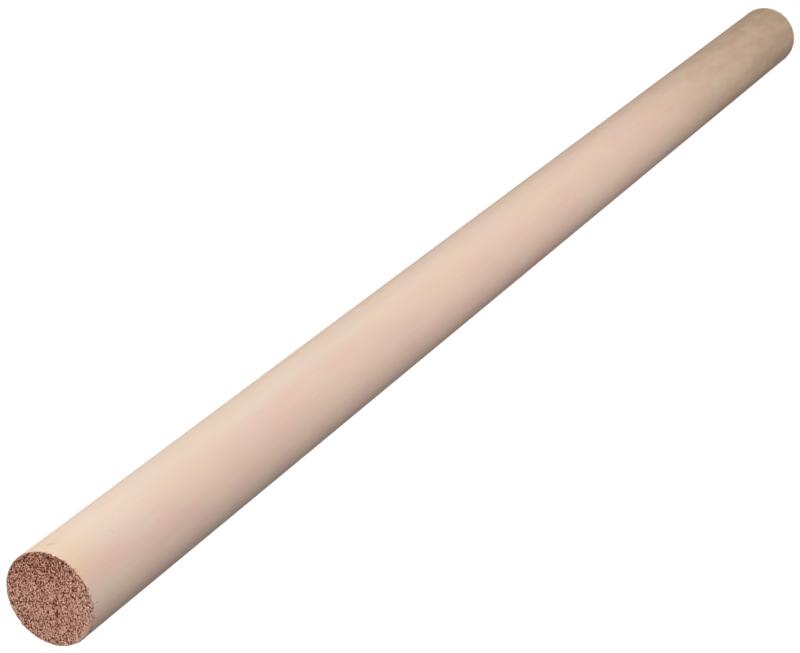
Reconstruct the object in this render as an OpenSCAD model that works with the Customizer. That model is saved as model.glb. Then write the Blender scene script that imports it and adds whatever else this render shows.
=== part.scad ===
// Plain round wooden dowel rod, sawn square across the grain at both ends.
// One solid piece, in millimetres. It stands on its lower sawn end: the axis
// is Z, and the origin is the centre of the lower end face.

/* [Rod] */
// Diameter of the rod
rod_d = 28; // [6:1:60]
// Length of the rod, from one sawn face to the other
rod_len = 600; // [100:10:2400]

/* [Sawn ends] */
// Width and height of the rubbed corner round each sawn face
corner = 0.4; // [0.1:0.1:1]

/* [Hidden] */
$fn = 96;
// Pale long grain of the barrel
long_grain = "#E9D3BC";
// Darker, redder grain of the sawn faces
end_grain = "#A27665";

// The straight round barrel, between the two rubbed corners
module barrel() {
  color(long_grain)
    translate([0, 0, corner])
      cylinder(h = rod_len - 2 * corner, d = rod_d);
}

// One sawn face, as the thin slice that holds its rubbed corner. The face
// looks down at z = 0, and the slice meets the barrel at z = corner.
module sawn_end() {
  color(end_grain)
    cylinder(h = corner, d1 = rod_d - 2 * corner, d2 = rod_d);
}

module dowel_rod() {
  barrel();
  sawn_end();
  translate([0, 0, rod_len])
    mirror([0, 0, 1])
      sawn_end();
}

dowel_rod();
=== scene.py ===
"""A plain round wooden dowel rod, sawn rough at both ends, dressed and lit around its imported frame."""

import math

import bmesh
import bpy
from mathutils import Matrix, Vector, noise


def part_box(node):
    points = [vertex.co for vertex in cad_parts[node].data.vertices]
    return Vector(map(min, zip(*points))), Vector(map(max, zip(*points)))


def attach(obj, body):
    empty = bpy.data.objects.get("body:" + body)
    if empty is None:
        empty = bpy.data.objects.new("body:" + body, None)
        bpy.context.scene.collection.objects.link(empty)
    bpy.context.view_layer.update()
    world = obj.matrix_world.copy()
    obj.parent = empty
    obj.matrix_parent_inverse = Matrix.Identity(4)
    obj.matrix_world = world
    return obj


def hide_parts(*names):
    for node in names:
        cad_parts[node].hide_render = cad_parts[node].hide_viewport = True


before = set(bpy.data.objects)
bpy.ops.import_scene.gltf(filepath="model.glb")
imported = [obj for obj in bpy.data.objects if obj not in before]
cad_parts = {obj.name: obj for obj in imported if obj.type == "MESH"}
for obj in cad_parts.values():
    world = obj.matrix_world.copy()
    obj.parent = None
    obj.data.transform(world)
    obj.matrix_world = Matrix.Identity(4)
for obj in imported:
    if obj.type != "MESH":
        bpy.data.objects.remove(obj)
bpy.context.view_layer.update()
ROD_LOW, ROD_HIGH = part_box("dowel_rod")
RADIUS = (ROD_HIGH.x - ROD_LOW.x) / 2
LENGTH = ROD_HIGH.z - ROD_LOW.z
MM = 0.001

bl_info = {
    "name": "Sawn Dowel Rod",
    "version": (1, 0, 0),
    "blender": (4, 5, 0),
    "location": "View3D > Sidebar > Dowel",
    "description": "Models a round wooden dowel rod with rough-sawn ends, and the studio round it",
    "category": "Add Mesh",
}


def length_prop(name, description, default):
    """A length in metres, shown in the scene's units."""
    return bpy.props.FloatProperty(
        name=name, description=description, default=default, unit="LENGTH", precision=5
    )


def angle_prop(name, description, degrees):
    """An angle, with its default given in degrees."""
    return bpy.props.FloatProperty(
        name=name, description=description, default=math.radians(degrees), subtype="ANGLE"
    )


def number_prop(name, description, default):
    """A plain number."""
    return bpy.props.FloatProperty(name=name, description=description, default=default)


def count_prop(name, description, default, least):
    """A whole number with a lower limit."""
    return bpy.props.IntProperty(name=name, description=description, default=default, min=least)


def colour_prop(name, description, default):
    """A linear colour."""
    return bpy.props.FloatVectorProperty(
        name=name, description=description, default=default, size=3, subtype="COLOR", min=0, max=1
    )


# Small marks on the barrel and its rim: colour, turn from the X axis in degrees, then in millimetres
# the distance below the upper face, the width and the height, and last how strong the mark is.
MARKS = {
    "scratch_start": ("smudge", -78, 4.3, 0.9, 0.35, 0.30),
    "scratch_middle": ("smudge", -81, 4.8, 0.9, 0.35, 0.30),
    "scratch_end": ("smudge", -84, 5.3, 0.9, 0.35, 0.20),
    "nick_high": ("smudge", -172, 0.9, 0.4, 0.4, 0.60),
    "nick_middle": ("smudge", -172, 1.9, 0.4, 0.4, 0.55),
    "nick_low": ("smudge", -172, 2.8, 0.4, 0.4, 0.35),
    "rim_nick": ("smudge", -175, 0.3, 0.5, 0.4, 0.70),
    "rim_nick_behind": ("smudge", 172, 0.5, 0.5, 0.5, 0.60),
    "pin_mark": ("smudge", 175, 12, 0.4, 0.4, 0.30),
    "faint_spot": ("smudge", -118, 21, 1.6, 1.4, 0.06),
    "faint_spot_lower": ("smudge", -143, 37, 1.8, 1.2, 0.07),
    "splinter": ("chip", -173.5, 1.4, 0.3, 1.4, 0.35),
    "speck": ("chip", -178, 18, 0.4, 0.4, 0.35),
    "speck_lower": ("chip", 172, 34.5, 0.4, 0.4, 0.35),
    "scrape": ("chip", -91, 36, 0.9, 0.6, 0.20),
    # The five chips along the rim are partly pale fresh wood and partly painted highlight, where torn
    # fibres on the arris catch the light.
    "chip_glint_front": ("chip", -98, 0.4, 0.7, 0.5, 0.90),
    "chip_glint_right": ("chip", -107, 0.8, 0.5, 0.5, 0.60),
    "chip_glint_side": ("chip", -118, 0.7, 0.4, 0.5, 0.50),
    "chip_glint_back": ("chip", -146, 0.6, 1.2, 0.4, 0.45),
    "chip_glint_low": ("chip", -158, 0.4, 0.5, 0.5, 0.70),
}

# Deep pits in the upper face, in millimetres: place along X and Y, width along X and Y. The shadow in a
# pit is a soft spot, with a height and a strength that all pits share.
PITS = {
    "deep_pit": (-1.9, 1.2, 0.80, 0.80),
    "slit": (-2.3, 3.9, 0.40, 1.80),
    "low_pit": (-5.8, 8.1, 0.60, 0.60),
    "back_tear": (-7.1, -10.1, 1.00, 0.80),
    "front_pit": (8.4, 2.5, 0.50, 0.60),
    "side_pit": (3.9, -12.0, 0.80, 0.45),
    "corner_pit": (7.7, -9.6, 0.60, 0.60),
}
PIT_HEIGHT = 2
PIT_STRENGTH = 0.75

# Lamps: azimuth in degrees, counted as the camera's is, then in metres the distance from the rod's axis,
# the height, and the height on the axis that the lamp faces.
LAMPS = {
    "side": (50, 0.50, 0.95, 0.10),
    "low": (-41, 0.62, 0.255, 0.70),
    "high": (-45, 0.75, 1.25, 0.35),
    "back": (148, 1.80, 0.60, 0.30),
}

# Sides of the rod on which its wood changes, as turns from the X axis: pinker side grain, the tint below
# the upper face, paler end grain, the widest part of the worn rim, and where that rim shows most.
ROSE_SIDE = math.radians(-165)
AGED_SIDE = math.radians(-95)
PALE_SIDE = math.radians(-165)
RUBBED_SIDE = math.radians(148)
WORN_SIDE = math.radians(70)

# Sizes in the torn wood: the bends of a ring across and along the rod, a streak of a saw tooth, a patch of
# deeper pores, and the strands and tufts of frayed fibre.
RING_BEND = 6 * MM
RING_BEND_ALONG = 200 * MM
STREAK_LENGTH = 1.6 * MM
STREAK_WIDTH = 0.35 * MM
DEEP_PATCH = 3.5 * MM
FRAYED_STRAND = 0.45 * MM
FRAYED_TUFT = 1.7 * MM

# How deep each kind of tearing goes, as a share of the deepest pore, and how much of it the calm side, the
# smooth crescent and the rim hold back.
PORE_DIG = 0.26
PATCH_DIG = 0.25
ROUGH_DIG = 0.62
SCRAPE_DIG = 0.15
RING_DIG = 0.50
CRUMB_DIG = 0.35
CALM_HOLD = 0.4
SMOOTH_HOLD = 0.8
RIM_HOLD = 0.6

# The lip of frayed fibre: how much of it stands out on the side where the saw came in, how much it stands
# out everywhere, and how much its strands and tufts vary.
LEAST_LIP = 0.60
EVEN_FRAY = 0.15
RAGGED_FRAY = 0.9

# How far a pattern is moved, so that the lower face and the side grain's second patches differ from the
# upper face and the first patches.
LOWER_SHIFT = 0.05
PATCH_SHIFT = (0.3, 0.1, 0.7)

# A vertex within this many corners of an end belongs to that end.
END_REACH = 1.01

# A face within this distance of an end has end grain, if it also lies inside the rim.
END_GRAIN_REACH = 2 * MM

FLOOR_RADIUS = 12
FLOOR_DROP = 0.2 * MM
FLOOR_GREY = 0.30

# ---------------------------------------------------------------- settings


class RodShape(bpy.types.PropertyGroup):
    """Sizes of the rod and of its mesh."""

    radius: length_prop("Radius", "Radius of the round barrel", RADIUS)
    length: length_prop("Length", "Length between the two sawn faces", LENGTH)
    corner: length_prop("Corner", "Width of the rubbed corner round each face", 0.4 * MM)
    corner_rows: count_prop("Corner rows", "Rows of faces across each rubbed corner", 3, 1)
    sides: count_prop("Sides", "Sides of the barrel, a multiple of four", 720, 16)
    first_row: length_prop("First row", "Length of the row of faces next to a corner", 0.35 * MM)
    row_growth: number_prop("Row growth", "How much longer each row is than the one before", 1.8)
    longest_row: length_prop("Longest row", "Length of the rows of faces in the middle", 40 * MM)
    grain_depth: length_prop("Grain depth", "Depth of the furrows along the barrel", 0.02 * MM)
    grain_width: length_prop("Grain width", "Width of one furrow", 0.8 * MM)
    grain_length: length_prop("Grain length", "Length over which a furrow changes", 50 * MM)


class SawnFace(bpy.types.PropertyGroup):
    """Sizes of the torn end grain."""

    pore_gap: length_prop("Pore gap", "Distance between torn pores", 0.60 * MM)
    pore_size: length_prop("Pore size", "Width of one torn pore", 0.40 * MM)
    finer_x: number_prop("Finer along X", "How much narrower pores and crumbs are along X", 1.3)
    pore_depth: length_prop("Pore depth", "Depth of the deepest torn pores", 0.4 * MM)
    crumb: length_prop("Crumb", "Width of the torn crumbs between the pores", 0.26 * MM)
    first_ring: length_prop("First ring", "Radius of the innermost growth ring", 3.7 * MM)
    ring_gap: length_prop("Ring gap", "Distance between two growth rings", 5.1 * MM)
    ring_width: length_prop("Ring width", "Width of the porous line in a ring", 0.45 * MM)
    ring_wander: length_prop("Ring wander", "How far a ring strays from a true circle", 0.6 * MM)
    pith_x: length_prop("Pith X", "Centre of the growth rings along X", 12 * MM)
    pith_y: length_prop("Pith Y", "Centre of the growth rings along Y", 7.5 * MM)
    kerf_gap: length_prop("Kerf gap", "Distance between two saw tooth marks", 1.3 * MM)
    kerf_turn: angle_prop("Kerf turn", "Direction of the saw tooth marks from the X axis", 40)
    rough_turn: angle_prop("Rough turn", "Side on which the saw tore deepest, from the X axis", -66)
    lip: length_prop("Lip", "How far torn fibres stand out past the barrel", 0.55 * MM)
    lip_reach: length_prop("Lip reach", "How far down the barrel the torn fibres reach", 1.2 * MM)
    lip_turn: angle_prop("Lip turn", "Side on which the saw left the rod, from the X axis", 135)
    rub: length_prop("Rub", "Width of the crescent that was rubbed smooth at the rim", 1.7 * MM)
    rub_turn: angle_prop("Rub turn", "Side of the smooth crescent, from the X axis", 150)


class Finish(bpy.types.PropertyGroup):
    """Colours of the wood, some with painted light and shade in them."""

    cream: colour_prop("Cream", "Side grain at the upper end", (0.83, 0.675, 0.575))
    honey: colour_prop("Honey", "Side grain below the middle", (0.83, 0.588, 0.472))
    # The lower end's tan is partly the wood's colour and partly painted shade, darker where the light
    # falls off along the rod.
    tan: colour_prop("Tan", "Side grain at the lower end", (0.64, 0.45, 0.315))
    rose: colour_prop("Rose", "Pinker wood along one side and in patches", (0.83, 0.56, 0.483))
    straw: colour_prop("Straw", "Yellower patches in the side grain", (0.83, 0.66, 0.492))
    aged: colour_prop("Aged", "Tint over the last of the barrel below the upper face", (1.0, 0.957, 0.875))
    smudge: colour_prop("Smudge", "Scratches, nicks and pin marks", (0.30, 0.165, 0.11))
    # The chip colour also paints the highlight on the torn fibres along the rim.
    chip: colour_prop("Chip", "Fresh pale chips at the rim", (0.95, 0.80, 0.68))
    # The fleck colour is partly painted highlight on the torn tips.
    fleck_and_highlight: colour_prop("Fleck", "Torn fibre tips that catch the light", (0.80, 0.487, 0.366))
    ridge: colour_prop("Ridge", "Torn ridges of the end grain", (0.63, 0.328, 0.192))
    body: colour_prop("Body", "Middle tone of the end grain", (0.40, 0.15, 0.052))
    # The pore colour is mostly painted shade at the bottom of the torn pores.
    pore_and_shadow: colour_prop("Pore", "Bottom of the torn pores", (0.115, 0.008, 0.002))
    worn: colour_prop("Worn", "End grain worn smooth along the rim", (0.52, 0.355, 0.285))


class Studio(bpy.types.PropertyGroup):
    """Camera and light."""

    azimuth: angle_prop("Azimuth", "Camera's turn round the rod", -45)
    elevation: angle_prop("Elevation", "Camera's height angle", 55.2)
    roll: angle_prop("Roll", "Camera's turn about its own view", -128.22)
    distance: length_prop("Distance", "From the camera to the point that it looks at", 0.78)
    aim: length_prop("Aim", "Height on the rod that the camera looks at", 0.393)
    aside: length_prop("Aside", "How far the view passes to the right of the rod's axis", -0.0007)
    lens: number_prop("Lens", "Focal length in millimetres", 103.3)
    lamp_size: length_prop("Lamp size", "Width of each square soft lamp", 0.6)
    side_power: number_prop("Side lamp", "Power of the lamp beside the upper end, in watts", 4.6)
    low_power: number_prop("Low lamp", "Power of the low lamp in front, in watts", 3.3)
    high_power: number_prop("High lamp", "Power of the high lamp in front, in watts", 3.7)
    back_power: number_prop("Back lamp", "Power of the lamp behind the rod, in watts", 32.0)
    room: number_prop("Room", "Strength of the room's even light", 0.04)


# ---------------------------------------------------------------- helpers


def clear_selection():
    """Leaves edit mode and selects nothing."""
    if bpy.context.object and bpy.context.object.mode != "OBJECT":
        bpy.ops.object.mode_set(mode="OBJECT")
    bpy.ops.object.select_all(action="DESELECT")


def pick_edges(piece, wanted):
    """In edit mode, selects only the edges for which wanted(edge) is true."""
    mesh = bmesh.from_edit_mesh(piece.data)
    bpy.ops.mesh.select_mode(type="EDGE")
    bpy.ops.mesh.select_all(action="DESELECT")
    for edge in mesh.edges:
        if wanted(edge):
            edge.select = True
    mesh.select_flush_mode()
    bmesh.update_edit_mesh(piece.data)


def smooth_step(low, high, value):
    """0 below low, 1 above high, with a smooth turn between."""
    share = min(max((value - low) / (high - low), 0), 1)
    return share * share * (3 - 2 * share)


def outside(edge, reach):
    """0 inside a circle of radius edge, 1 outside it, with a soft turn between."""
    return smooth_step(edge - 0.3 * MM, edge + 0.2 * MM, reach)


def toward(turn):
    """The level direction at an angle from the X axis."""
    return Vector((math.cos(turn), math.sin(turn), 0))


# ---------------------------------------------------------------- the rod's shape


def add_barrel(shape):
    """The round wall between the two rubbed corners, open at both ends."""
    clear_selection()
    bpy.ops.mesh.primitive_cylinder_add(
        vertices=shape.sides,
        radius=shape.radius,
        depth=shape.length - 2 * shape.corner,
        end_fill_type="NOTHING",
        location=(0, 0, shape.length / 2),
    )
    bpy.ops.object.transform_apply(location=True, rotation=False, scale=False)
    rod = bpy.context.object
    rod.name = rod.data.name = "dowel"
    return rod


def close_end(rod, shape, height, outward):
    """Turns the open rim in round the rubbed corner, and closes it with an even grid of small faces."""
    pick_edges(rod, lambda edge: all(abs(v.co.z - height) < shape.corner * END_REACH for v in edge.verts))
    reach = shape.radius
    rise = 0
    for row in range(1, shape.corner_rows + 1):
        turn = math.pi / 2 * row / shape.corner_rows
        next_reach = shape.radius - shape.corner * (1 - math.cos(turn))
        next_rise = shape.corner * math.sin(turn)
        step = (0, 0, outward * (next_rise - rise))
        bpy.ops.mesh.extrude_edges_move(TRANSFORM_OT_translate={"value": step})
        shrink = next_reach / reach
        bpy.ops.transform.resize(value=(shrink, shrink, 1), center_override=(0, 0, height))
        reach, rise = next_reach, next_rise
    bpy.ops.mesh.fill_grid(span=shape.sides // 4)


def cut_rows(shape):
    """Cuts the barrel into rows, short next to the corners and longer towards the middle."""
    reach = shape.corner
    row = shape.first_row
    while reach + row < shape.length / 2:
        reach += row
        row = min(row * shape.row_growth, shape.longest_row)
        for height in (reach, shape.length - reach):
            bpy.ops.mesh.select_all(action="SELECT")
            bpy.ops.mesh.bisect(plane_co=(0, 0, height), plane_no=(0, 0, 1))
    bpy.ops.mesh.select_all(action="SELECT")
    bpy.ops.mesh.normals_make_consistent(inside=False)


# ---------------------------------------------------------------- the torn ends


def pore_field(place, gap, size):
    """Depth of scattered pits at a place on a face, each pit with a depth of its own, from 0 to 1."""
    sway = Vector((noise.noise(place / (0.9 * gap)), noise.noise(place.yxz / gap), 0))
    reaches, centres = noise.voronoi(place / gap + 0.4 * sway)
    own = 0.5 + 0.5 * noise.cell(centres[0] * 50)
    return own * (1 - smooth_step(0.2 * size, 0.8 * size, reaches[0] * gap))


def ring_field(place, saw):
    """How close a place is to the porous line of a growth ring, from 0 to 1."""
    reach = (place.xy - Vector((saw.pith_x, saw.pith_y))).length
    reach += saw.ring_wander * noise.noise(Vector((place.x, place.y, 0)) / RING_BEND)
    off = abs(((reach - saw.first_ring) / saw.ring_gap + 0.5) % 1 - 0.5) * saw.ring_gap
    return 1 - smooth_step(0.3 * saw.ring_width, saw.ring_width, off)


def kerf_field(place, saw):
    """Streaks that the saw teeth drew across the face, from 0 to 1."""
    along = place.dot(toward(saw.kerf_turn))
    across = place.dot(toward(saw.kerf_turn + math.pi / 2))
    streak = noise.noise(Vector((along / STREAK_LENGTH, across / STREAK_WIDTH, place.z / MM)))
    wave = 0.5 + 0.5 * math.sin(math.tau * across / saw.kerf_gap + 2 * streak)
    return 0.5 + 0.5 * streak * (0.4 + 0.6 * wave)


def rubbed(place, saw):
    """1 on the smooth crescent at one side of the rim, 0 elsewhere."""
    side = max(place.xy.normalized().dot(toward(saw.rub_turn).xy), 0)
    width = saw.rub * side ** 4
    return outside(RADIUS - width, place.xy.length) * side


def torn_depth(place, saw):
    """Depth of the torn surface below the saw's plane, as a share of the deepest pore."""
    stretched = place * Vector((saw.finer_x, 1, 1))
    pores = pore_field(stretched, saw.pore_gap, saw.pore_size)
    crumbs = pore_field(stretched, saw.crumb, saw.crumb)
    rings = ring_field(place, saw)
    rough = smooth_step(3 * MM, 11 * MM, place.dot(toward(saw.rough_turn)))
    calm = smooth_step(4 * MM, 13 * MM, place.dot(toward(saw.rub_turn)))
    patch = 0.5 + 0.5 * noise.noise(place / DEEP_PATCH + Vector((3, 7, 1)))
    dig = pores * (PORE_DIG + PATCH_DIG * patch + ROUGH_DIG * rough)
    scrape = (SCRAPE_DIG + ROUGH_DIG * rough) * kerf_field(place, saw)
    depth = min(dig + scrape + RING_DIG * rings * crumbs + CRUMB_DIG * crumbs, 1)
    return depth * (1 - CALM_HOLD * calm) * (1 - SMOOTH_HOLD * rubbed(place, saw))


def pit_field(place):
    """Depth of the deep pits at a place on the upper face, from 0 to 1."""
    deepest = 0
    for x, y, wide, long in PITS.values():
        off = Vector(((place.x / MM - x) / wide, (place.y / MM - y) / long))
        deepest = max(deepest, 1 - smooth_step(0.3, 1, off.length))
    return deepest


def tear_face(rod, shape, saw, height, inward, shift):
    """Sinks one sawn face below the saw's plane, and keeps each vertex's depth for the colour."""
    torn = rod.data.attributes["torn"]
    flat = shape.radius - shape.corner
    for vertex in rod.data.vertices:
        if abs(vertex.co.z - height) > shape.corner * END_REACH:
            continue
        place = Vector((vertex.co.x, vertex.co.y, shift))
        share = torn_depth(place, saw)
        if height > 0:
            share = max(share, pit_field(place))
        held = 1 - RIM_HOLD * outside(flat, vertex.co.xy.length)
        vertex.co.z += inward * saw.pore_depth * share * held
        torn.data[vertex.index].value = share


def fray_rim(rod, shape, saw, height, lip_turn, shift):
    """Pushes ragged torn fibres out past the barrel round one sawn face."""
    way_out = toward(lip_turn)
    for vertex in rod.data.vertices:
        drop = abs(vertex.co.z - height)
        reach = vertex.co.xy.length
        if drop > saw.lip_reach or reach < shape.radius - 2 * shape.corner:
            continue
        level = Vector((vertex.co.x, vertex.co.y, 0)) / reach
        side = LEAST_LIP + (1 - LEAST_LIP) * smooth_step(-0.5, 1, level.dot(way_out))
        place = Vector((vertex.co.x, vertex.co.y, shift))
        strand = noise.noise(place / FRAYED_STRAND)
        tuft = noise.noise(place / FRAYED_TUFT)
        fray = max(EVEN_FRAY + RAGGED_FRAY * strand + RAGGED_FRAY * tuft, 0)
        taper = (1 - drop / saw.lip_reach) ** 2
        vertex.co.xy += level.xy * saw.lip * side * fray * taper


def raise_grain(rod, shape):
    """Sinks fine lengthwise furrows into the barrel."""
    for vertex in rod.data.vertices:
        reach = vertex.co.xy.length
        if reach < shape.radius - shape.corner:
            continue
        place = vertex.co.copy()
        place.z *= shape.grain_width / shape.grain_length
        sink = shape.grain_depth * (0.5 + 0.5 * noise.noise(place / shape.grain_width))
        vertex.co.xy *= 1 - sink / shape.radius


def shape_rod(shape, saw):
    """The whole rod, one closed mesh."""
    rod = add_barrel(shape)
    bpy.ops.object.mode_set(mode="EDIT")
    close_end(rod, shape, shape.length, 1)
    close_end(rod, shape, 0, -1)
    cut_rows(shape)
    bpy.ops.object.mode_set(mode="OBJECT")
    rod.data.attributes.new("torn", "FLOAT", "POINT")
    raise_grain(rod, shape)
    tear_face(rod, shape, saw, shape.length, -1, 0)
    tear_face(rod, shape, saw, 0, 1, LOWER_SHIFT)
    fray_rim(rod, shape, saw, shape.length, saw.lip_turn, 0)
    fray_rim(rod, shape, saw, 0, saw.lip_turn + math.pi, LOWER_SHIFT)
    bpy.ops.object.shade_smooth_by_angle(angle=math.radians(50))
    return rod


# ---------------------------------------------------------------- node helpers


def fill(tree, node, inputs):
    """Fills a node's inputs with values or links."""
    for key, source in inputs.items():
        if isinstance(source, bpy.types.NodeSocket):
            tree.links.new(source, node.inputs[key])
        else:
            node.inputs[key].default_value = source


def put(tree, kind, inputs, output=0, **settings):
    """Adds a shader node with its settings and inputs, and gives back one of its outputs."""
    node = tree.nodes.new("ShaderNode" + kind)
    for name, value in settings.items():
        setattr(node, name, value)
    fill(tree, node, inputs)
    return node.outputs[output]


def maths(tree, operation, first, second=0.0):
    """One step of arithmetic."""
    return put(tree, "Math", {0: first, 1: second}, operation=operation)


def vector_maths(tree, operation, first, second, output=0):
    """One step of vector arithmetic."""
    return put(tree, "VectorMath", {0: first, 1: second}, output, operation=operation)


def length_of(tree, vector):
    """The length of a vector."""
    return put(tree, "VectorMath", {0: vector}, "Value", operation="LENGTH")


def total(tree, *terms):
    """The sum of several values."""
    value = terms[0]
    for term in terms[1:]:
        value = maths(tree, "ADD", value, term)
    return value


def fade(tree, value, low, high, start=0.0, end=1.0):
    """Turns low..high into start..end smoothly, and holds it there outside."""
    ends = {"Value": value, "From Min": low, "From Max": high, "To Min": start, "To Max": end}
    return put(tree, "MapRange", ends, interpolation_type="SMOOTHSTEP")


def blend(tree, share, first, second, mode="MIX"):
    """Mixes two colours."""
    sides = {"Factor": share, "A": first, "B": second}
    return put(tree, "Mix", sides, "Result", data_type="RGBA", blend_type=mode)


def lay(tree, tone, share, colour, mode="MIX"):
    """Lays a plain colour over a tone, as strongly as the share says."""
    return blend(tree, share, tone, (*colour, 1), mode)


def lean(tree, place, turn):
    """How far a place lies towards one side of the rod: 1 on the barrel there, -1 opposite."""
    return vector_maths(tree, "DOT_PRODUCT", place, toward(turn) / RADIUS, "Value")


def empty_tree(owner):
    """The node tree of a material or world, with nothing in it."""
    owner.use_nodes = True
    owner.node_tree.nodes.clear()
    return owner.node_tree


def new_group(name, inputs, outputs):
    """A shader node group with named sockets, and its input and output nodes."""
    group = bpy.data.node_groups.new(name, "ShaderNodeTree")
    for label, kind in inputs.items():
        group.interface.new_socket(label, in_out="INPUT", socket_type="NodeSocket" + kind)
    for label, kind in outputs.items():
        group.interface.new_socket(label, in_out="OUTPUT", socket_type="NodeSocket" + kind)
    return group, group.nodes.new("NodeGroupInput"), group.nodes.new("NodeGroupOutput")


def use(tree, group, inputs, output=0):
    """Places a node group, fills its inputs, and gives back one of its outputs."""
    node = tree.nodes.new("ShaderNodeGroup")
    node.node_tree = group
    fill(tree, node, inputs)
    return node.outputs[output]


# ---------------------------------------------------------------- shared wood effects


def make_strands():
    """Noise drawn out along the grain: strands when it is narrow, soft patches when it is wide."""
    sockets = {"Place": "Vector", "Across": "Float", "Along": "Float", "Detail": "Float"}
    group, start, end = new_group("strands", sockets, {"Value": "Float"})
    across = start.outputs["Across"]
    size = put(group, "CombineXYZ", {"X": across, "Y": across, "Z": start.outputs["Along"]})
    scaled = vector_maths(group, "DIVIDE", start.outputs["Place"], size)
    detail = start.outputs["Detail"]
    clouds = {"Vector": scaled, "Scale": 1.0, "Detail": detail, "Roughness": 0.6}
    fill(group, end, {"Value": put(group, "TexNoise", clouds, "Fac")})
    return group


def make_pores():
    """Scattered open pores, long along the grain and round on a cut face, and a chance tone for each."""
    sockets = {"Place": "Vector", "Gap": "Float", "Along": "Float", "Size": "Float"}
    group, start, end = new_group("pores", sockets, {"Mask": "Float", "Tone": "Float"})
    gap = start.outputs["Gap"]
    size = put(group, "CombineXYZ", {"X": gap, "Y": gap, "Z": start.outputs["Along"]})
    scaled = vector_maths(group, "DIVIDE", start.outputs["Place"], size)
    cells = {"Vector": scaled, "Scale": 1.0, "Randomness": 1.0}
    near = put(group, "TexVoronoi", cells, "Distance")
    chance = put(group, "SeparateColor", {0: near.node.outputs["Color"]})
    share = maths(group, "DIVIDE", start.outputs["Size"], gap)
    mask = fade(group, near, maths(group, "MULTIPLY", share, 0.3), share, 1.0, 0.0)
    fill(group, end, {"Mask": mask, "Tone": chance})
    return group


def make_rings():
    """The porous line of each growth ring round the pith."""
    sockets = {"Place": "Vector", "Pith": "Vector"}
    sockets |= dict.fromkeys(("First", "Gap", "Width", "Wander"), "Float")
    group, start, end = new_group("growth_rings", sockets, {"Line": "Float"})
    out = vector_maths(group, "SUBTRACT", start.outputs["Place"], start.outputs["Pith"])
    reach = length_of(group, vector_maths(group, "MULTIPLY", out, (1, 1, 0)))
    bend = (RING_BEND, RING_BEND, RING_BEND_ALONG)
    slow = vector_maths(group, "DIVIDE", start.outputs["Place"], bend)
    sway = put(group, "TexNoise", {"Vector": slow, "Scale": 1.0, "Detail": 1.0}, "Fac")
    stray = maths(group, "MULTIPLY", maths(group, "SUBTRACT", sway, 0.5), start.outputs["Wander"])
    reach = maths(group, "SUBTRACT", maths(group, "ADD", reach, stray), start.outputs["First"])
    rings = maths(group, "ADD", maths(group, "DIVIDE", reach, start.outputs["Gap"]), 0.5)
    off = maths(group, "ABSOLUTE", maths(group, "SUBTRACT", maths(group, "FRACT", rings), 0.5))
    off = maths(group, "MULTIPLY", off, start.outputs["Gap"])
    fill(group, end, {"Line": fade(group, off, 0.0, start.outputs["Width"], 1.0, 0.0)})
    return group


def make_spot():
    """A soft spot at a centre, with a size of its own along each axis."""
    sockets = {"Place": "Vector", "Centre": "Vector", "Size": "Vector"}
    group, start, end = new_group("spot", sockets, {"Mask": "Float"})
    off = vector_maths(group, "SUBTRACT", start.outputs["Place"], start.outputs["Centre"])
    reach = length_of(group, vector_maths(group, "DIVIDE", off, start.outputs["Size"]))
    fill(group, end, {"Mask": fade(group, reach, 0.3, 1.0, 1.0, 0.0)})
    return group


def strands_at(tree, effects, place, across, along, detail=1.0):
    """The strands at a place, with their width and length in millimetres."""
    sizes = {"Place": place, "Across": across * MM, "Along": along * MM, "Detail": detail}
    return use(tree, effects["strands"], sizes)


def pores_at(tree, effects, place, gap, along, size):
    """The pores at a place, with their distance, length and width in millimetres."""
    sizes = {"Place": place, "Gap": gap * MM, "Along": along * MM, "Size": size * MM}
    return use(tree, effects["pores"], sizes)


def rings_at(tree, effects, saw, place, width, wander):
    """The growth rings at a place, with the width of their line and their wander in millimetres."""
    rings = {
        "Place": place,
        "Pith": (saw.pith_x, saw.pith_y, 0),
        "First": saw.first_ring,
        "Gap": saw.ring_gap,
        "Width": width * MM,
        "Wander": wander * MM,
    }
    return use(tree, effects["growth_rings"], rings)


def lay_spot(tree, effects, place, tone, centre, size, strength, colour):
    """Lays a soft spot of a plain colour over a tone, with its size in millimetres."""
    spot = {"Place": place, "Centre": centre, "Size": tuple(width * MM for width in size)}
    share = maths(tree, "MULTIPLY", use(tree, effects["spot"], spot), strength)
    return lay(tree, tone, share, colour)


# ---------------------------------------------------------------- materials


def new_material(name, specular):
    """A material with only its output and a Principled shader."""
    material = bpy.data.materials.new(name)
    tree = empty_tree(material)
    shader = tree.nodes.new("ShaderNodeBsdfPrincipled")
    shader.inputs["Specular IOR Level"].default_value = specular
    output = tree.nodes.new("ShaderNodeOutputMaterial")
    fill(tree, output, {"Surface": shader.outputs["BSDF"]})
    return material, tree, shader


def set_surface(tree, shader, tone, roughness, relief, strength, distance):
    """Gives a shader its colour, its roughness and a fine relief, with the relief's height in metres."""
    bump = put(tree, "Bump", {"Height": relief, "Strength": strength, "Distance": distance})
    fill(tree, shader, {"Base Color": tone, "Roughness": roughness, "Normal": bump})


def add_marks(tree, place, tone, finish, effects):
    """Lays the small marks of the barrel and its rim over a colour."""
    for colour, turn, drop, width, height, strength in MARKS.values():
        side = RADIUS * toward(math.radians(turn))
        centre = (side.x, side.y, LENGTH - drop * MM)
        size = (width, width, height)
        tone = lay_spot(tree, effects, place, tone, centre, size, strength, getattr(finish, colour))
    return tone


def shade_pits(tree, place, tone, finish, effects):
    """Paints a soft shadow into each deep pit of the upper face."""
    for x, y, wide, long in PITS.values():
        centre = (x * MM, y * MM, LENGTH)
        size = (wide, long, PIT_HEIGHT)
        # Painted shadow: the dark pore colour laid over each pit.
        tone = lay_spot(tree, effects, place, tone, centre, size, PIT_STRENGTH, finish.pore_and_shadow)
    return tone


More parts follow.
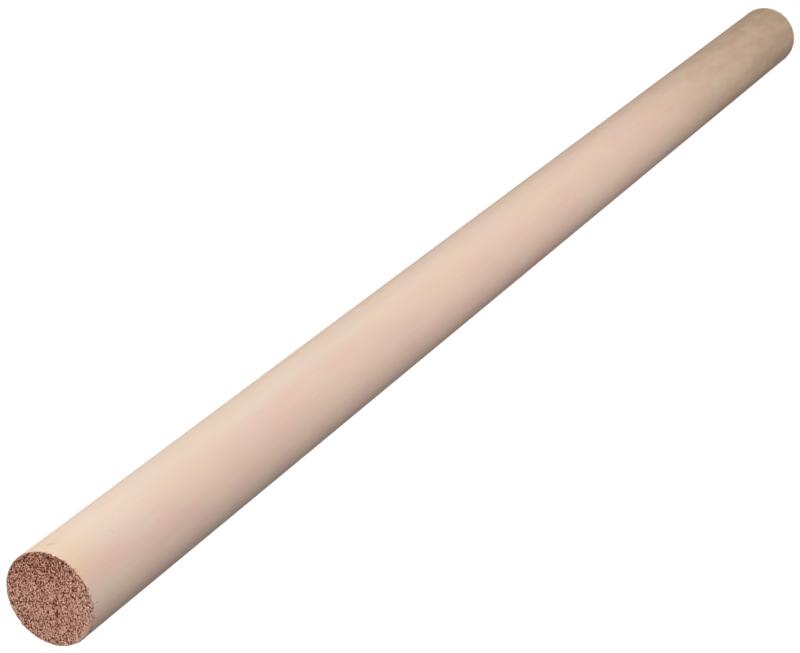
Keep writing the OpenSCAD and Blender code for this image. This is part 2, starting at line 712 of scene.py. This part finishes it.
def wear_rim(tree, place, crumbs, tone, finish):
    """A pale worn border along the rim, widest where the rim was rubbed, with a ragged inner edge."""
    reach = total(
        tree,
        length_of(tree, vector_maths(tree, "MULTIPLY", place, (1, 1, 0))),
        fade(tree, lean(tree, place, RUBBED_SIDE), 0.85, 1.0, 0.0, 1.1 * MM),
        fade(tree, crumbs, 0.3, 0.7, -0.25 * MM, 0.25 * MM),
    )
    worn = fade(tree, reach, RADIUS - 0.6 * MM, RADIUS - 0.1 * MM)
    side = fade(tree, lean(tree, place, WORN_SIDE), -0.7, 0.1, 0.15, 0.85)
    return lay(tree, tone, maths(tree, "MULTIPLY", worn, side), finish.worn)


def side_grain(saw, finish, effects):
    """Pale, smooth and matt side grain, tanner and darker towards the lower end, partly as painted shade,
    with a few small marks.
    """
    material, tree, shader = new_material("side_grain", 0.01)
    place = put(tree, "TexCoord", {}, "Object")
    height = put(tree, "SeparateXYZ", {"Vector": place}, "Z")

    rise = fade(tree, height, 0.2 * LENGTH, LENGTH)
    tone = blend(tree, rise, (*finish.honey, 1), (*finish.cream, 1))
    moved = vector_maths(tree, "ADD", place, PATCH_SHIFT)
    side = fade(tree, lean(tree, place, ROSE_SIDE), 0.1, 1.1)
    patch = fade(tree, strands_at(tree, effects, moved, 10, 50), 0.3, 0.7, -0.25, 0.25)
    blush = fade(tree, maths(tree, "ADD", side, patch), 0.0, 1.2)
    tone = lay(tree, tone, blush, finish.rose)
    patch = fade(tree, strands_at(tree, effects, place, 9, 40), 0.3, 0.7, 0.0, 0.5)
    tone = lay(tree, tone, patch, finish.straw)
    # Tanner and darker towards the lower end: partly the wood's colour, partly painted shade for the light
    # that falls off there.
    tone = lay(tree, tone, fade(tree, height, 0.36 * LENGTH, 0.04 * LENGTH), finish.tan)
    patch = fade(tree, strands_at(tree, effects, moved, 5, 16), 0.3, 0.7, 0.0, 0.35)
    tone = lay(tree, tone, patch, finish.straw)
    aged = fade(tree, height, LENGTH - 22 * MM, LENGTH - 3 * MM)
    side = fade(tree, lean(tree, place, AGED_SIDE), 0.4, 0.9)
    tone = lay(tree, tone, maths(tree, "MULTIPLY", aged, side), finish.aged, "MULTIPLY")

    strands = strands_at(tree, effects, place, 0.45, 22, 3.0)
    line = rings_at(tree, effects, saw, place, 0.7, 5)
    dash = pores_at(tree, effects, place, 0.9, 3, 0.20)
    shade = fade(tree, strands, 0.3, 0.7, 0.975, 1.01)
    shade = maths(tree, "MULTIPLY", shade, fade(tree, line, 0.0, 1.0, 1.0, 0.985))
    shade = maths(tree, "MULTIPLY", shade, fade(tree, dash, 0.0, 1.0, 1.0, 0.96))
    grey = put(tree, "CombineColor", {0: shade, 1: shade, 2: shade})
    tone = blend(tree, 1.0, tone, grey, "MULTIPLY")

    from_end = maths(tree, "MINIMUM", height, maths(tree, "SUBTRACT", LENGTH, height))
    frayed = strands_at(tree, effects, place, 0.55, 0.9, 2.0)
    ragged = fade(tree, frayed, 0.42, 0.72, -0.1 * MM, 1.0 * MM)
    fringe = fade(tree, maths(tree, "SUBTRACT", from_end, ragged), 0.0, 0.2 * MM, 0.85, 0.0)
    tone = lay(tree, tone, fringe, finish.ridge)
    tone = add_marks(tree, place, tone, finish, effects)

    roughness = fade(tree, strands, 0.3, 0.7, 0.72, 0.60)
    relief = maths(tree, "SUBTRACT", strands, maths(tree, "MULTIPLY", dash, 0.5))
    set_surface(tree, shader, tone, roughness, relief, 0.35, 0.03 * MM)
    return material


def colour_by_depth(tree, depth, finish):
    """Colours torn wood from its pale tips down to its dark pores, partly the wood's own tone, partly
    painted highlight on the tips and painted shade in the pores.
    """
    # Deeper wood is painted darker, as the shade that falls in the pores, and the shallowest tips paler,
    # as painted highlight; the wood's own tone lies between.
    ramp = tree.nodes.new("ShaderNodeValToRGB")
    stops = ramp.color_ramp.elements
    stops[0].position = 0.0
    stops[0].color = (*finish.fleck_and_highlight, 1)
    stops[1].position = 0.80
    stops[1].color = (*finish.pore_and_shadow, 1)
    stops.new(0.28).color = (*finish.ridge, 1)
    stops.new(0.50).color = (*finish.body, 1)
    fill(tree, ramp, {"Fac": depth})
    return ramp.outputs["Color"]


def end_grain(saw, finish, effects):
    """Rough reddish end grain: pale torn tips, a brown body and deep dark pores, with painted highlight on
    the tips and painted shade in the pores.
    """
    material, tree, shader = new_material("end_grain", 0.15)
    place = put(tree, "TexCoord", {}, "Object")
    narrowed = vector_maths(tree, "MULTIPLY", place, (1.6, 1, 1))
    torn = put(tree, "Attribute", {}, "Fac", attribute_name="torn")
    crumbs = strands_at(tree, effects, narrowed, 0.24, 0.24)
    pits = pores_at(tree, effects, narrowed, 0.28, 0.28, 0.20)
    holes = pores_at(tree, effects, narrowed, 0.8, 0.8, 0.42)
    line = rings_at(tree, effects, saw, place, 0.45, 1)

    chance = maths(tree, "POWER", pits.node.outputs["Tone"], 1.4)
    spread = maths(tree, "ADD", maths(tree, "MULTIPLY", torn, 0.8), 0.8)
    open_hole = fade(tree, holes.node.outputs["Tone"], 0.35, 0.75, 0.0, 1.8)
    rough = lean(tree, place, saw.rough_turn)
    pale = lean(tree, place, PALE_SIDE)
    depth = total(
        tree,
        torn,
        fade(tree, crumbs, 0.3, 0.7, -0.15, 0.20),
        maths(tree, "MULTIPLY", fade(tree, chance, 0.0, 1.0, -0.82, 1.70), spread),
        maths(tree, "MULTIPLY", line, 0.10),
        maths(tree, "MULTIPLY", holes, open_hole),
        fade(tree, rough, 4 * MM / RADIUS, 12 * MM / RADIUS, 0.0, 0.25),
        fade(tree, pale, 2 * MM / RADIUS, 12 * MM / RADIUS, 0.0, -0.20),
    )

    # The depth sets the colour, with painted shade in the pores and painted highlight on the tips.
    tone = colour_by_depth(tree, depth, finish)
    tone = shade_pits(tree, place, tone, finish, effects)
    tone = wear_rim(tree, place, crumbs, tone, finish)
    tone = add_marks(tree, place, tone, finish, effects)

    roughness = fade(tree, depth, 0.0, 1.0, 0.75, 0.95)
    relief = maths(tree, "SUBTRACT", crumbs, pits)
    set_surface(tree, shader, tone, roughness, relief, 0.8, 0.12 * MM)
    return material


def dress_rod(rod, shape, saw, finish):
    """Side grain on the barrel and end grain on the two sawn faces."""
    effects = {
        "strands": make_strands(),
        "pores": make_pores(),
        "growth_rings": make_rings(),
        "spot": make_spot(),
    }
    rod.data.materials.append(side_grain(saw, finish, effects))
    rod.data.materials.append(end_grain(saw, finish, effects))
    rim = shape.radius - 0.25 * shape.corner
    for face in rod.data.polygons:
        from_end = min(face.center.z, shape.length - face.center.z)
        at_end = from_end < END_GRAIN_REACH and face.center.xy.length < rim
        face.material_index = int(at_end)


# ---------------------------------------------------------------- stage


def white_for_the_eye(tree):
    """Is Camera Ray + Is Glossy Ray + Is Transmission Ray, as one value from 0 to 1."""
    rays = tree.nodes.new("ShaderNodeLightPath").outputs
    seen = maths(tree, "MAXIMUM", rays["Is Camera Ray"], rays["Is Glossy Ray"])
    return maths(tree, "MAXIMUM", seen, rays["Is Transmission Ray"])


def lay_floor():
    """A wide white floor that keeps the rod's shadow, and is clear from below."""
    clear_selection()
    bpy.ops.mesh.primitive_circle_add(
        vertices=96, radius=FLOOR_RADIUS, fill_type="NGON", location=(0, 0, -FLOOR_DROP)
    )
    floor = bpy.context.object
    floor.name = "floor"
    material = bpy.data.materials.new("white_floor")
    tree = empty_tree(material)
    matt = put(tree, "BsdfDiffuse", {"Color": (FLOOR_GREY, FLOOR_GREY, FLOOR_GREY, 1)})
    away = length_of(tree, put(tree, "TexCoord", {}, "Object"))
    glow = put(tree, "Emission", {"Strength": fade(tree, away, 0.2, 1.2, 0.85, 1.0)})
    bright = put(tree, "AddShader", {0: matt, 1: glow})
    seen = put(tree, "MixShader", {0: white_for_the_eye(tree), 1: matt, 2: bright})
    below = put(tree, "NewGeometry", {}, "Backfacing")
    clear = put(tree, "BsdfTransparent", {})
    surface = put(tree, "MixShader", {0: below, 1: seen, 2: clear})
    output = tree.nodes.new("ShaderNodeOutputMaterial")
    fill(tree, output, {"Surface": surface})
    floor.data.materials.append(material)


def light_room(studio):
    """White for the eye, and an even soft light for the rod."""
    world = bpy.data.worlds.new("room")
    bpy.context.scene.world = world
    tree = empty_tree(world)
    room = put(tree, "Background", {"Color": (1, 1, 1, 1), "Strength": studio.room})
    white = put(tree, "Background", {"Color": (1, 1, 1, 1), "Strength": 1.0})
    mix = put(tree, "MixShader", {0: white_for_the_eye(tree), 1: room, 2: white})
    output = tree.nodes.new("ShaderNodeOutputWorld")
    fill(tree, output, {"Surface": mix})


def hang_lamp(name, power, size):
    """Hangs one square soft lamp at its place round the rod, facing a height on the axis."""
    azimuth, reach, height, aim = LAMPS[name]
    turn = math.radians(azimuth)
    place = Vector((reach * math.sin(turn), -reach * math.cos(turn), height))
    clear_selection()
    bpy.ops.object.light_add(type="AREA", location=place)
    lamp = bpy.context.object
    lamp.name = name + "_lamp"
    lamp.data.energy = power
    lamp.data.size = size
    lamp.rotation_euler = (place - Vector((0, 0, aim))).to_track_quat("Z", "Y").to_euler()
    lamp.visible_camera = False


def set_camera(studio):
    """The camera looks down on the standing rod and is rolled."""
    turn = (
        Matrix.Rotation(studio.azimuth, 4, "Z")
        @ Matrix.Rotation(math.pi / 2 - studio.elevation, 4, "X")
    )
    place = Vector((0, 0, studio.aim)) + turn @ Vector((studio.aside, 0, studio.distance))
    rolled = turn @ Matrix.Rotation(studio.roll, 4, "Z")
    clear_selection()
    bpy.ops.object.camera_add(location=place, rotation=rolled.to_euler())
    camera = bpy.context.object
    camera.data.lens = studio.lens
    camera.data.sensor_width = 36
    camera.data.clip_start = 0.01
    camera.data.clip_end = 50
    bpy.context.scene.camera = camera


# ---------------------------------------------------------------- operators


class DOWEL_OT_rod(bpy.types.Operator):
    """Model the rod with its two torn ends, and give it its wood"""

    bl_idname = "dowel.rod"
    bl_label = "Dowel rod"
    bl_options = {"REGISTER", "UNDO"}

    def execute(self, context):
        scene = context.scene
        rod = shape_rod(scene.rod_shape, scene.sawn_face)
        dress_rod(rod, scene.rod_shape, scene.sawn_face, scene.rod_finish)
        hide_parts("dowel_rod")
        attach(rod, "root")
        return {"FINISHED"}


class DOWEL_OT_studio(bpy.types.Operator):
    """Lay the floor, hang the lamps and set the camera"""

    bl_idname = "dowel.studio"
    bl_label = "Studio"
    bl_options = {"REGISTER", "UNDO"}

    def execute(self, context):
        studio = context.scene.dowel_studio
        context.scene.view_settings.view_transform = "Standard"
        lay_floor()
        light_room(studio)
        for name in LAMPS:
            hang_lamp(name, getattr(studio, name + "_power"), studio.lamp_size)
        set_camera(studio)
        return {"FINISHED"}


class DOWEL_PT_panel(bpy.types.Panel):
    """Buttons for the rod and its studio"""

    bl_label = "Dowel rod"
    bl_idname = "DOWEL_PT_panel"
    bl_space_type = "VIEW_3D"
    bl_region_type = "UI"
    bl_category = "Dowel"

    def draw(self, context):
        for operator in (DOWEL_OT_rod, DOWEL_OT_studio):
            self.layout.operator(operator.bl_idname)


SETTINGS = {
    "rod_shape": RodShape,
    "sawn_face": SawnFace,
    "rod_finish": Finish,
    "dowel_studio": Studio,
}
CLASSES = (*SETTINGS.values(), DOWEL_OT_rod, DOWEL_OT_studio, DOWEL_PT_panel)


def register():
    """Adds the classes, and the settings on the scene."""
    for cls in CLASSES:
        bpy.utils.register_class(cls)
    for name, cls in SETTINGS.items():
        setattr(bpy.types.Scene, name, bpy.props.PointerProperty(type=cls))


def unregister():
    """Takes them away again."""
    for name in SETTINGS:
        delattr(bpy.types.Scene, name)
    for cls in reversed(CLASSES):
        bpy.utils.unregister_class(cls)


def main():
    """Makes the rod and its studio."""
    register()
    bpy.ops.dowel.rod()
    bpy.ops.dowel.studio()


if __name__ == "__main__":
    main()
